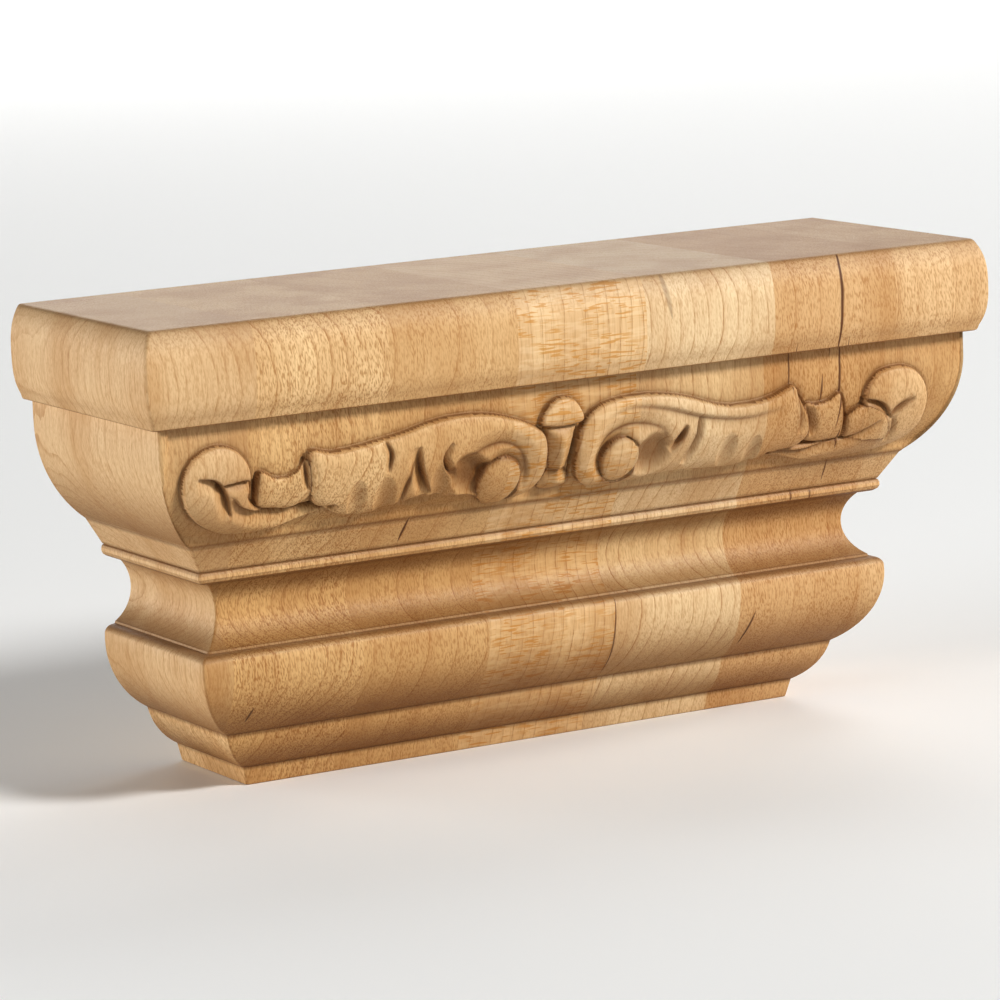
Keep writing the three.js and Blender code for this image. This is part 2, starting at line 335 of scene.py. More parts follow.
def left_scroll(c):
    """Carves the left side, from the disc by the corner in to the volute beside the bud."""
    c.raised(
        [(-76.4, 68.3), (-76.9, 71.8), (-79.4, 75.2), (-83.3, 76.8), (-87.4, 76.1), (-90.4, 73.8),
         (-91.6, 70.4), (-91.0, 66.4), (-88.9, 63.2), (-85.3, 60.5), (-80.3, 58.7), (-73.2, 58.2),
         (-66.0, 59.2), (-58.4, 60.8), (-63.0, 61.9), (-70.1, 62.2), (-74.7, 63.7), (-76.6, 65.8)],
        edge=-0.5, crown=1.1, rim=4.0,
    )
    c.raised(
        [(-74.4, 70.3), (-71.1, 69.0), (-68.3, 68.7), (-65.5, 70.0), (-63.8, 71.8), (-62.0, 70.0),
         (-61.8, 65.0), (-66.0, 62.5), (-70.0, 62.7), (-74.4, 64.0)],
        edge=-0.4, crown=0.2, rim=2.0,
    )
    c.raised(
        [(-63.2, 73.4), (-58.4, 72.8), (-52.8, 73.2), (-47.2, 74.0), (-41.7, 74.9), (-35.6, 76.3),
         (-29.5, 76.9), (-22.4, 76.5), (-16.3, 75.0), (-11.7, 73.1), (-8.7, 71.0), (-7.5, 68.4),
         (-7.2, 65.0), (-7.9, 61.6), (-10.2, 59.2), (-14.2, 58.1), (-19.3, 58.4), (-24.0, 59.8),
         (-29.5, 60.6), (-36.6, 61.2), (-41.7, 60.4), (-47.0, 59.4), (-53.0, 59.4), (-58.0, 61.0),
         (-61.6, 63.2), (-62.6, 67.5)],
        edge=-0.2, crown=1.1, rim=2.6,
    )
    # The disc is split by a crescent cut, with a small lobe curling under it and a long tail below.
    c.cut([(-84.2, 69.0), (-81.4, 69.2), (-78.4, 69.5), (-75.4, 68.6)], 1.7, left=0.35, right=2.0, swell=0.4)
    c.cut([(-88.8, 71.0), (-84.8, 70.1), (-82.4, 67.6), (-80.2, 62.6)], 2.1, left=0.4, right=2.6, swell=0.5)
    c.cut([(-80.4, 66.4), (-77.8, 63.9), (-73.4, 62.5), (-66.0, 62.0), (-56.6, 62.2)],
          2.3, left=0.4, right=2.8, swell=0.4)
    c.cut([(-74.8, 70.6), (-75.0, 67.0), (-74.6, 64.0)], 1.2, left=0.4, right=0.6)
    c.cut([(-64.2, 73.2), (-64.0, 70.2), (-63.0, 65.8)], 1.2, left=0.35, right=1.4)
    c.scoop(-56.7, 61.6, 1.0, 0.9, 1.6)
    # The leaf has two thumb hollows, a fold, and two flames cut back from its edge.
    c.scoop(-51.8, 63.0, 2.3, 4.0, 0.75, turn=8)
    c.scoop(-45.2, 62.6, 2.6, 4.4, 0.75, turn=8)
    c.cut([(-46.5, 74.0), (-44.9, 71.2), (-45.4, 67.6)], 1.1, left=0.35, right=1.3)
    c.cut([(-38.4, 72.0), (-38.0, 69.0), (-36.6, 65.4), (-34.3, 61.8)], 2.3, left=0.4, right=2.8)
    c.cut([(-38.9, 68.8), (-40.4, 64.4), (-41.0, 60.4)], 0.9, left=0.35, right=1.5)
    c.scoop(-36.0, 60.0, 5.5, 1.7, 0.9)
    c.scoop(-32.6, 63.8, 2.5, 4.2, 0.9, turn=12)
    # The pocket behind the flame, and the hollow that follows the ribbon round the eye.
    c.scoop(-25.2, 64.6, 6.2, 4.6, 2.2, turn=-30, soft=True)
    c.cut([(-30.9, 72.0), (-32.6, 69.2), (-31.6, 66.8), (-29.6, 64.4), (-29.4, 60.6)],
          1.9, left=1.6, right=0.4)
    c.cut([(-29.0, 66.4), (-24.0, 69.4), (-18.6, 70.4), (-14.2, 68.4), (-12.0, 64.0), (-12.6, 60.2)],
          1.3, left=3.0, right=3.0)
    c.raised(
        [(-18.1 + 5.0 * math.cos(a), 62.3 + 5.0 * math.sin(a)) for a in np.linspace(0, 2 * math.pi, 13)[:-1]],
        edge=0.0, crown=1.1, rim=3.4, clean=True,
    )
    c.cut([(-23.2, 63.6), (-21.8, 66.0), (-18.3, 67.5), (-14.7, 66.2), (-13.0, 63.8), (-13.2, 60.6)],
          1.5, left=1.8, right=0.3)


def right_scroll(c):
    """Carves the right side, from the volute beside the bud out to the disc."""
    c.raised(
        [(71.4, 68.9), (71.8, 72.0), (74.2, 74.7), (78.2, 75.6), (82.3, 75.2), (85.4, 73.0),
         (87.2, 69.6), (87.5, 65.5), (86.4, 62.0), (83.3, 59.5), (77.2, 57.8), (69.0, 57.2),
         (61.0, 57.3), (53.8, 58.6), (47.4, 60.2), (54.0, 60.8), (61.0, 61.0), (68.0, 61.7),
         (71.4, 63.4)],
        edge=-0.5, crown=1.1, rim=4.0,
    )
    c.raised(
        [(67.0, 65.4), (69.0, 67.2), (71.6, 68.0), (74.7, 67.1), (77.2, 65.0), (78.4, 61.2), (75.0, 61.0),
         (70.0, 61.4), (67.0, 62.0)],
        edge=-0.3, crown=0.6, rim=2.2,
    )
    c.raised(
        [(56.2, 69.5), (59.0, 69.6), (62.0, 70.0), (64.6, 71.4), (65.9, 69.0), (66.7, 66.0),
         (67.1, 62.0), (63.0, 61.3), (58.0, 61.8), (55.6, 64.0)],
        edge=-0.4, crown=0.2, rim=2.0,
    )
    c.raised(
        [(4.1, 58.7), (1.2, 60.9), (0.0, 64.5), (-0.2, 68.6), (0.3, 71.2), (1.8, 73.6), (5.1, 75.5),
         (10.2, 76.4), (15.2, 76.5), (20.3, 76.0), (25.4, 75.0), (30.5, 73.4), (34.5, 72.2), (38.6, 71.7),
         (43.7, 71.9), (47.8, 72.7), (50.8, 73.9), (52.6, 74.3), (54.0, 72.2), (55.4, 70.0), (57.0, 66.8),
         (57.6, 63.6), (55.0, 61.2), (50.8, 60.8), (46.7, 59.8), (42.7, 59.1), (36.6, 58.8), (30.5, 59.2),
         (25.4, 59.4), (20.3, 59.2), (15.2, 58.6), (9.1, 58.2)],
        edge=-0.2, crown=1.1, rim=2.6,
    )
    # The disc: a curl over the small lobe, a slim leaf-shaped nick, and the tail's long line.
    c.cut([(70.6, 69.6), (74.4, 68.8), (76.6, 67.4), (78.6, 64.8)], 1.8, left=0.35, right=1.3)
    c.cut([(77.4, 65.0), (80.2, 67.2), (83.8, 68.7)], 1.2, left=1.4, right=0.5)
    c.cut([(78.6, 65.6), (79.2, 62.8), (78.2, 60.2)], 0.9, left=1.3, right=0.35)
    c.cut([(66.6, 61.4), (71.0, 62.2), (75.8, 65.0)], 0.8, left=0.4, right=1.4)
    c.cut([(47.6, 60.8), (57.0, 60.0), (66.4, 61.4)], 1.1, left=0.45, right=1.8)
    # Two torn steps at the collars, where the wood broke out under the gouge.
    c.cut([(53.2, 73.4), (54.4, 69.4), (54.8, 64.4)], 1.3, left=1.9, right=0.35)
    c.cut([(56.2, 70.2), (57.6, 66.4), (58.8, 63.0)], 1.5, left=1.9, right=0.35)
    c.cut([(65.2, 71.0), (66.6, 66.2), (67.0, 61.8)], 1.5, left=0.9, right=0.35)
    # The leaf: a ridge along its top, thumb hollows, two flames and the dark pocket behind the eye.
    c.cut([(6.0, 72.6), (12.0, 74.2), (20.3, 73.0), (30.5, 70.2), (40.6, 69.0), (50.0, 70.4)],
          0.7, left=0.9, right=3.2)
    c.scoop(37.1, 62.9, 2.3, 3.8, 0.75, turn=-8)
    c.scoop(43.7, 62.0, 2.1, 3.4, 0.75, turn=-8)
    c.cut([(29.1, 70.8), (28.4, 66.6), (26.2, 61.4)], 1.9, left=1.7, right=0.4)
    c.cut([(26.2, 69.2), (24.9, 66.4), (22.8, 64.0)], 1.8, left=0.4, right=1.7)
    c.scoop(18.2, 64.2, 5.4, 4.8, 2.0, turn=20, soft=True)
    c.cut([(22.0, 64.8), (20.6, 68.6), (16.4, 70.4), (11.2, 70.7), (6.6, 68.8), (5.2, 64.6), (6.2, 60.4)],
          1.3, left=3.0, right=2.6)
    c.raised(
        [(10.7 + 4.6 * math.cos(a), 63.6 + 4.6 * math.sin(a)) for a in np.linspace(0, 2 * math.pi, 13)[:-1]],
        edge=0.0, crown=1.1, rim=3.2, clean=True,
    )
    c.cut([(7.6, 60.0), (5.9, 63.8), (7.0, 66.7), (10.2, 68.4), (13.8, 67.3)], 1.6, left=1.8, right=0.3)


def bud(c):
    """Carves the bud: a domed cap on a keeled stalk that narrows to a waist above a small foot."""
    c.raised(
        [(-7.9, 72.4), (-7.2, 68.6), (-6.2, 65.0), (-5.6, 62.6), (-6.9, 60.6), (-6.6, 58.6), (-3.2, 58.0),
         (-0.2, 58.8), (-0.2, 60.6), (-1.7, 62.4), (-1.4, 66.0), (-0.8, 70.2), (-0.4, 72.4)],
        edge=-1.1, crown=1.0, rim=2.9, roof=True,
    )
    c.raised(
        [(-9.3, 73.0), (-8.9, 75.0), (-6.9, 77.2), (-4.4, 78.1), (-1.8, 77.4), (0.0, 75.2), (0.6, 73.2),
         (-1.0, 72.4), (-4.6, 72.2), (-7.8, 72.4)],
        edge=-0.1, crown=1.1, rim=2.8,
    )
    c.cut([(-6.4, 62.2), (-3.6, 62.6), (-1.0, 62.2)], 0.8, left=0.5, right=0.8)
    c.cut([(-0.6, 72.0), (-0.9, 66.0), (-0.1, 59.6)], 1.7, left=0.5, right=0.5, swell=0.4)
    c.cut([(-8.4, 72.0), (-7.4, 67.0), (-7.2, 60.0)], 0.9, left=0.5, right=0.5, swell=0.4)


def carve(x, z):
    """All the carving over the points given, cut by cut."""
    c = Carving(x, z)
    c.ground()
    left_scroll(c)
    right_scroll(c)
    bud(c)
    return c


# The front of the quarter round is divided into columns, and again near every carved line.
def front_line(edge):
    a, b = edge.verts
    return abs(a.co.z - b.co.z) < 1e-7 and abs(a.co.y - b.co.y) < 1e-7 and a.co.y < 0.0 and in_band(a.co)


for pieces, longest in ((PANELS, 0.05), (COLUMNS_PER_PANEL, 0.005)):
    select_where(lambda e: front_line(e) and e.calc_length() > longest, "EDGE")
    bpy.ops.mesh.subdivide(number_cuts=pieces - 1)


def on_front(face):
    return face.normal.y < -0.3 and all(in_band(v.co) for v in face.verts) and len(face.verts) == 4


mesh = bmesh.from_edit_mesh(capital.data)
mesh.faces.ensure_lookup_table()
tiles = [f.index for f in mesh.faces if on_front(f) and f.calc_area() < 2e-6]
middles = np.array([mesh.faces[i].calc_center_median() for i in tiles]) / MM
near_line = carve(middles[:, 0], middles[:, 2]).edge < 0.75
fine = {tiles[i] for i in np.flatnonzero(near_line)}
select_where(lambda f: f.index in fine, "FACE")
bpy.ops.mesh.subdivide(number_cuts=FINE_CUTS)
bpy.ops.object.mode_set(mode="OBJECT")

# Every point of the front is pushed in or out along the quarter round's own normal, but the field
# itself goes straight back, so that at the corners it slides along the unsunk ends.
count = len(capital.data.vertices)
place = np.empty(count * 3)
capital.data.vertices.foreach_get("co", place)
place = place.reshape(-1, 3) / MM
half_width = FOOT_WIDTH / 2 + BACK - FOOT_DEPTH - ovolo_front(place[:, 2])
front = np.flatnonzero(
    (place[:, 2] > 55.2) & (place[:, 2] < ABACUS_UNDERSIDE + 0.02)
    & (np.abs(place[:, 1] - ovolo_front(place[:, 2])) < CORNER_SOFTNESS + 0.05)
    & (np.abs(place[:, 0]) < half_width + 0.05)
)
carving = carve(place[front, 0], place[front, 2])
turned = ovolo_angle(place[front, 2])
ease = np.clip((half_width[front] - np.abs(place[front, 0])) / 1.2, 0, 1)
out = (carving.height + carving.ground_depth) * ease
place[front, 1] += carving.ground_depth / np.cos(turned)
place[front, 1] -= out * np.cos(turned)
place[front, 2] -= out * np.sin(turned)
capital.data.vertices.foreach_set("co", (place * MM).ravel())
# Painted shade of the carving, carried to the material as an attribute.
recess_shade = np.zeros(count)
recess_shade[front] = np.clip(carving.shade, 0, 1)
capital.data.attributes.new("recess_shade", "FLOAT", "POINT").data.foreach_set("value", recess_shade)
# Painted shade: the scotia's hollow darker, and on the carved face the low ground darker than the tops of the
# raised shapes.
hollow_shade = 0.65 * np.clip(np.minimum(place[:, 2] - 31.0, 46.4 - place[:, 2]) / 2.0, 0, 1)
standing = np.clip((carving.height + carving.ground_depth - 0.3) / 1.7, 0, 1)
hollow_shade[front] = 0.62 - 0.55 * standing
# Marks the cant and the carved face to take less end-grain darkening below; on the cant this is painted
# light.
end_grain_spared = 1.0 * ((place[:, 2] > 48.9) & (place[:, 2] < 55.4))
end_grain_spared[front] = 1.0
capital.data.attributes.new("end_grain_spared", "FLOAT", "POINT").data.foreach_set("value", end_grain_spared)
capital.data.attributes.new("hollow_shade", "FLOAT", "POINT").data.foreach_set("value", hollow_shade)
capital.data.update()
bpy.ops.object.shade_smooth()
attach(capital, "root")
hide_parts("capital")

# The wood: upright staves of maple, each from its own board, sanded and left with a soft sheen.
# Growth rings stand upright through the block, so the mouldings cut them into lines, bows and ovals.
# Each stave has its left edge, the place of its tree's heart, its ring width and its colour.
STAVES = [
    {"left": -101.0, "heart": (-37.0, 32.0), "ring": 1.5, "lean": 0.04, "tone": (0.740, 0.535, 0.310),
     "ticks": 0.50, "rays": 0.0, "lines": 0.60},
    {"left": -77.3, "heart": (-1.5, 61.0), "ring": 1.8, "lean": 0.04, "tone": (0.830, 0.610, 0.345),
     "ticks": 1.0, "rays": 0.0, "lines": 0.90},
    {"left": -46.6, "heart": (44.0, 35.0), "ring": 5.6, "lean": 0.0, "tone": (0.735, 0.510, 0.268),
     "ticks": 0.75, "rays": 0.0, "lines": 0.80},
    {"left": -16.6, "heart": (-190.0, -32.0), "ring": 2.6, "lean": 0.0, "tone": (0.765, 0.550, 0.312),
     "ticks": 0.0, "rays": 1.0, "lines": 0.95},
    {"left": 14.1, "heart": (121.0, 48.0), "ring": 2.7, "lean": 0.0, "tone": (0.800, 0.625, 0.395),
     "ticks": 0.45, "rays": 0.0, "lines": 1.00},
    {"left": 45.1, "heart": (166.0, 28.0), "ring": 5.0, "lean": 0.0, "tone": (0.690, 0.460, 0.240),
     "ticks": 0.9, "rays": 0.0, "lines": 0.90},
    {"left": 75.9, "heart": (185.0, 14.0), "ring": 4.5, "lean": 0.0, "tone": (0.760, 0.540, 0.305),
     "ticks": 0.80, "rays": 0.0, "lines": 0.80},
]
RING_LINE = (0.400, 0.170, 0.036)
TICK = (0.400, 0.175, 0.038)
RAY = (0.600, 0.300, 0.065)
LUSTRE = (0.860, 0.680, 0.440)
STREAK = (0.120, 0.036, 0.006)
# Painted shade for the cuts of the carving and the quirks.
CREVICE_SHADE = (0.170, 0.062, 0.010)
TOP_GRAIN = (0.600, 0.555, 0.510)
# Partly the end grain's own colour, partly painted shade on faces turned down.
END_GRAIN_AND_UNDERSIDE_SHADE = (0.545, 0.430, 0.295)
# Painted shade for the hollows.
HOLLOW_SHADE_TINT = (0.860, 0.770, 0.600)
# Painted shade for the lower left of the front.
LOW_LEFT_SHADE = (0.830, 0.735, 0.580)
QUIRKS = (4.05, 12.8, 31.9, 46.2, 49.1, 55.0)
HEART_SPAN = 600.0
RING_SPAN = 10.0
LEAN_SPAN = 0.5

wood = bpy.data.materials.new("stave_maple")
wood.use_nodes = True
tree = wood.node_tree
shader = tree.nodes["Principled BSDF"]


def join(source, socket):
    """Feeds a socket from another socket, or sets it to a plain value."""
    if isinstance(source, bpy.types.NodeSocket):
        tree.links.new(source, socket)
    else:
        socket.default_value = source


def maths(operation, a, b=0.0, clamp=False):
    n = tree.nodes.new("ShaderNodeMath")
    n.operation = operation
    n.use_clamp = clamp
    join(a, n.inputs[0])
    join(b, n.inputs[1])
    return n.outputs[0]


def span(value, low, high, to_low=0.0, to_high=1.0, smooth=True):
    """Eases a value from one range to another and holds it at both ends."""
    n = tree.nodes.new("ShaderNodeMapRange")
    n.interpolation_type = "SMOOTHSTEP" if smooth else "LINEAR"
    join(value, n.inputs["Value"])
    n.inputs["From Min"].default_value = low
    n.inputs["From Max"].default_value = high
    n.inputs["To Min"].default_value = to_low
    n.inputs["To Max"].default_value = to_high
    return n.outputs["Result"]


def stretched(scale, offset=(0, 0, 0)):
    """The place on the piece in millimetres, stretched along each axis for a pattern."""
    n = tree.nodes.new("ShaderNodeMapping")
    n.inputs["Scale"].default_value = scale
    n.inputs["Location"].default_value = offset
    join(millimetres, n.inputs["Vector"])
    return n.outputs["Vector"]


def grain_noise(vector, detail=2.0, roughness=0.5):
    n = tree.nodes.new("ShaderNodeTexNoise")
    n.inputs["Scale"].default_value = 1.0
    n.inputs["Detail"].default_value = detail
    n.inputs["Roughness"].default_value = roughness
    join(vector, n.inputs["Vector"])
    return n.outputs["Fac"]


def blend(share, below, above, mode="MIX"):
    n = tree.nodes.new("ShaderNodeMix")
    n.data_type = "RGBA"
    n.blend_type = mode
    join(share, n.inputs["Factor"])
    join(below if isinstance(below, bpy.types.NodeSocket) else (*below, 1), n.inputs["A"])
    join(above if isinstance(above, bpy.types.NodeSocket) else (*above, 1), n.inputs["B"])
    return n.outputs["Result"]


def by_stave(colour_of):
    """A colour that changes at each glue line."""
    n = tree.nodes.new("ShaderNodeValToRGB")
    n.color_ramp.interpolation = "CONSTANT"
    stops = n.color_ramp.elements
    for i, stave in enumerate(STAVES):
        at = (stave["left"] + 101.0) / 202.0
        stop = stops[i] if i < 2 else stops.new(at)
        stop.position = at
        stop.color = (*colour_of(stave), 1)
    join(across_staves, n.inputs["Fac"])
    return n.outputs["Color"]


coordinates = tree.nodes.new("ShaderNodeTexCoord")
to_millimetres = tree.nodes.new("ShaderNodeVectorMath")
to_millimetres.operation = "SCALE"
to_millimetres.inputs["Scale"].default_value = 1 / MM
join(coordinates.outputs["Object"], to_millimetres.inputs[0])
millimetres = to_millimetres.outputs[0]
axes = tree.nodes.new("ShaderNodeSeparateXYZ")
join(millimetres, axes.inputs[0])
x, y, z = axes.outputs
across_staves = span(x, -101.0, 101.0, smooth=False)

# Rings: distance from the heart, wandering a little, cut into years with a dark line at each year's end.
heart = tree.nodes.new("ShaderNodeSeparateColor")
join(
    by_stave(lambda s: (
        s["heart"][0] / HEART_SPAN + 0.5, s["heart"][1] / HEART_SPAN + 0.5, s["ring"] / RING_SPAN
    )),
    heart.inputs[0],
)
figure = tree.nodes.new("ShaderNodeSeparateColor")
join(by_stave(lambda s: (s["ticks"], s["rays"], s["lean"] / LEAN_SPAN)), figure.inputs[0])
tick_share, quartered, lean_share = figure.outputs
line_share = tree.nodes.new("ShaderNodeSeparateColor")
join(by_stave(lambda s: (s["lines"], 0.0, 0.0)), line_share.inputs[0])
heart_x = maths("MULTIPLY", maths("SUBTRACT", heart.outputs[0], 0.5), HEART_SPAN)
heart_y = maths("MULTIPLY", maths("SUBTRACT", heart.outputs[1], 0.5), HEART_SPAN)
ring_width = maths("MULTIPLY", heart.outputs[2], RING_SPAN)
off_x = maths("SUBTRACT", x, heart_x)
off_y = maths("SUBTRACT", y, heart_y)
radius = maths("SQRT", maths("ADD", maths("MULTIPLY", off_x, off_x), maths("MULTIPLY", off_y, off_y)))
leaned = maths("SUBTRACT", radius, maths("MULTIPLY", z, maths("MULTIPLY", lean_share, LEAN_SPAN)))
sway = maths("MULTIPLY", maths("SUBTRACT", grain_noise(stretched((0.03, 0.03, 0.018))), 0.5), 5.0)
ripple = maths("MULTIPLY", maths("SUBTRACT", grain_noise(stretched((0.25, 0.25, 0.13), (7, 3, 5))), 0.5), 0.9)
years = maths("DIVIDE", maths("ADD", leaned, maths("ADD", sway, ripple)), ring_width)
year_share = maths("FRACT", years)
year_name = tree.nodes.new("ShaderNodeTexWhiteNoise")
year_name.noise_dimensions = "1D"
join(maths("FLOOR", years), year_name.inputs["W"])
year_parts = tree.nodes.new("ShaderNodeSeparateColor")
join(year_name.outputs["Color"], year_parts.inputs[0])
year_strength = span(year_parts.outputs[0], 0.0, 1.0, 0.4, 1.0, smooth=False)
year_tone = span(year_parts.outputs[1], 0.0, 1.0, 0.0, 0.06, smooth=False)
to_line = maths("MULTIPLY", maths("SUBTRACT", 1.0, year_share), ring_width)
line = span(to_line, 0.02, 0.42, 1.0, 0.0)
late_wood = span(year_share, 0.45, 1.0, 0.0, 0.22)
year_line = maths("MAXIMUM", line, late_wood)
broken = span(grain_noise(stretched((0.9, 0.9, 0.35), (4, 8, 6))), 0.35, 0.6, 0.5, 1.0)
ring_dark = maths("MULTIPLY", maths("MULTIPLY", year_line, year_strength), broken)
ring_dark = maths("MULTIPLY", ring_dark, line_share.outputs[0])

# Colour: stave tone, broad clouding, a tone for each year, rings, and fine fibres.
colour = by_stave(lambda s: s["tone"])
clouds = grain_noise(stretched((0.07, 0.07, 0.022), (11, 4, 2)), detail=3.0)
colour = blend(span(clouds, 0.38, 0.68, 0.0, 0.45), colour, (0.520, 0.285, 0.105))
colour = blend(year_tone, colour, (0.500, 0.270, 0.095))
fibres = grain_noise(stretched((2.6, 2.6, 0.12), (3, 1, 8)), detail=3.0, roughness=0.6)
colour = blend(span(fibres, 0.45, 0.72, 0.0, 0.28), colour, TICK)
colour = blend(maths("MULTIPLY", ring_dark, 0.85), colour, RING_LINE)

# Ticks: the short dark ends of the rays, leaning a little, all over the flat-sawn staves.
leaning = tree.nodes.new("ShaderNodeCombineXYZ")
join(maths("ADD", maths("MULTIPLY", x, 3.4), maths("MULTIPLY", z, 0.40)), leaning.inputs[0])
join(maths("MULTIPLY", y, 3.6), leaning.inputs[1])
join(maths("MULTIPLY", z, 0.75), leaning.inputs[2])
ticks = span(grain_noise(leaning.outputs[0], detail=1.2, roughness=0.5), 0.45, 0.66)
tick_patch = span(grain_noise(stretched((0.10, 0.10, 0.06), (2, 9, 1))), 0.35, 0.62, 0.65, 1.0)
tick_mask = maths("MULTIPLY", maths("MULTIPLY", ticks, tick_patch), tick_share)
colour = blend(maths("MULTIPLY", tick_mask, 0.66), colour, TICK)

# Rays: on the quartered stave they lie flat, as orange bars across pale lustrous wood.
# They show on upright faces only; end grain cuts across them.
facing = tree.nodes.new("ShaderNodeSeparateXYZ")
join(coordinates.outputs["Normal"], facing.inputs[0])
side_grain = span(maths("ABSOLUTE", facing.outputs[2]), 0.7, 0.95, 1.0, 0.0)
lustre = span(grain_noise(stretched((0.25, 0.3, 1.1), (8, 2, 4)), detail=1.5), 0.45, 0.65)
lustre = maths("MULTIPLY", maths("MULTIPLY", lustre, quartered), side_grain)
colour = blend(maths("MULTIPLY", lustre, 0.30), colour, LUSTRE)
rays = span(grain_noise(stretched((0.24, 0.35, 2.2), (5, 5, 5)), detail=1.0), 0.565, 0.595)
ray_patch = span(grain_noise(stretched((0.10, 0.10, 0.08), (1, 6, 3))), 0.36, 0.56)
ray_mask = maths("MULTIPLY", maths("MULTIPLY", rays, ray_patch), maths("MULTIPLY", quartered, side_grain))
colour = blend(maths("MULTIPLY", ray_mask, 0.75), colour, RAY)


# Streaks: dark mineral lines that run up some staves near the front face.
STREAKS = [
    {"at": 62.8, "from": 79.0, "to": 106.0, "width": 0.55, "lean": 0.02, "dark": 0.95},
    {"at": 64.9, "from": 63.0, "to": 84.0, "width": 0.45, "lean": 0.02, "dark": 0.90},
    {"at": 52.0, "from": 72.0, "to": 84.0, "width": 0.30, "lean": 0.00, "dark": 0.80},
    {"at": 60.4, "from": 69.0, "to": 76.0, "width": 0.35, "lean": 0.05, "dark": 0.80},
    {"at": 66.0, "from": 58.5, "to": 63.5, "width": 0.35, "lean": 0.00, "dark": 0.80},
    {"at": 67.0, "from": 50.5, "to": 56.0, "width": 0.30, "lean": -0.05, "dark": 0.80},
    {"at": 59.6, "from": 46.4, "to": 49.6, "width": 0.35, "lean": 0.00, "dark": 0.70},
    {"at": 64.6, "from": 46.4, "to": 49.6, "width": 0.35, "lean": 0.00, "dark": 0.70},
    {"at": 19.5, "from": 92.0, "to": 104.0, "width": 0.90, "lean": -0.15, "dark": 0.35},
    {"at": 14.2, "from": 12.0, "to": 33.0, "width": 0.30, "lean": 0.02, "dark": 0.80},
    {"at": 48.5, "from": 16.0, "to": 24.0, "width": 0.45, "lean": 0.35, "dark": 0.90},
    {"at": -36.8, "from": 50.0, "to": 55.6, "width": 0.45, "lean": 0.25, "dark": 0.95},
    {"at": -84.0, "from": 13.0, "to": 18.0, "width": 0.50, "lean": 0.30, "dark": 0.80},
    {"at": -71.8, "from": 16.0, "to": 19.5, "width": 0.45, "lean": 0.30, "dark": 0.80},
]
wander = maths("SUBTRACT", x, maths("MULTIPLY", ripple, 0.6))
streaks = 0.0
for one_streak in STREAKS:
    middle = (one_streak["from"] + one_streak["to"]) / 2
    half = (one_streak["to"] - one_streak["from"]) / 2
    up = maths("SUBTRACT", z, middle)
    centre = maths("ADD", maths("MULTIPLY", up, one_streak["lean"]), one_streak["at"])
    apart = maths("SUBTRACT", wander, centre)
    along = maths("DIVIDE", up, half)
    taper = maths("SUBTRACT", 1.0, maths("MULTIPLY", along, along), clamp=True)
    wide = maths("ADD", maths("MULTIPLY", taper, one_streak["width"]), 0.001)
    core = span(maths("DIVIDE", maths("ABSOLUTE", apart), wide), 0.25, 1.0, one_streak["dark"], 0.0)
    streaks = maths("MAXIMUM", core, streaks)
near_front = maths("MULTIPLY", span(y, -6.0, 4.0, 1.0, 0.0), side_grain)
colour = blend(maths("MULTIPLY", streaks, near_front), colour, STREAK)
recess_shade_of = tree.nodes.new("ShaderNodeAttribute")
recess_shade_of.attribute_name = "recess_shade"
# Painted shade in the carving's cuts, moats, hollows and corners.
colour = blend(maths("MULTIPLY", recess_shade_of.outputs["Fac"], 0.92), colour, CREVICE_SHADE)

# Painted shade: a dark line in the quirks between the mouldings, and the front faces darker low down and on
# the left.
quirk = 0.0
for quirk_height in QUIRKS:
    apart = maths("ABSOLUTE", maths("SUBTRACT", z, quirk_height))
    quirk = maths("MAXIMUM", span(apart, 0.1, 0.9, 1.0, 0.0), quirk)
moulded = span(facing.outputs[1], 0.5, 0.9, 1.0, 0.0)
# Painted shade in the quirks.
colour = blend(maths("MULTIPLY", maths("MULTIPLY", quirk, moulded), 0.42), colour, CREVICE_SHADE)
# Painted shade on front faces, deeper low down and to the left.
forward = span(facing.outputs[1], -0.1, -0.45)
low_down = maths("MULTIPLY", span(z, 12.0, 78.0, 1.0, 0.0), span(x, -85.0, 50.0, 1.0, 0.25))
colour = blend(maths("MULTIPLY", low_down, forward), colour, LOW_LEFT_SHADE, mode="MULTIPLY")
hollow_shade_of = tree.nodes.new("ShaderNodeAttribute")
hollow_shade_of.attribute_name = "hollow_shade"
end_grain_spared_of = tree.nodes.new("ShaderNodeAttribute")
end_grain_spared_of.attribute_name = "end_grain_spared"
# Painted shade in the hollows, on faces turned to the front.
hollow_shading = maths("MULTIPLY", hollow_shade_of.outputs["Fac"], forward)
colour = blend(hollow_shading, colour, HOLLOW_SHADE_TINT, mode="MULTIPLY")

# End grain drinks more of the finish, so it is darker wherever the surface turns up or down; faces turned
# down are also given painted shade, darker and warmer than faces turned up.
# The carved face and the cant take only 0.3 of this darkening, which keeps them lighter; on the cant that is
# painted light.
end_grain_share = maths("SUBTRACT", 1.0, maths("MULTIPLY", end_grain_spared_of.outputs["Fac"], 0.7))
looks_up = span(facing.outputs[2], 0.15, 0.9)
colour = blend(maths("MULTIPLY", looks_up, end_grain_share), colour, TOP_GRAIN, mode="MULTIPLY")
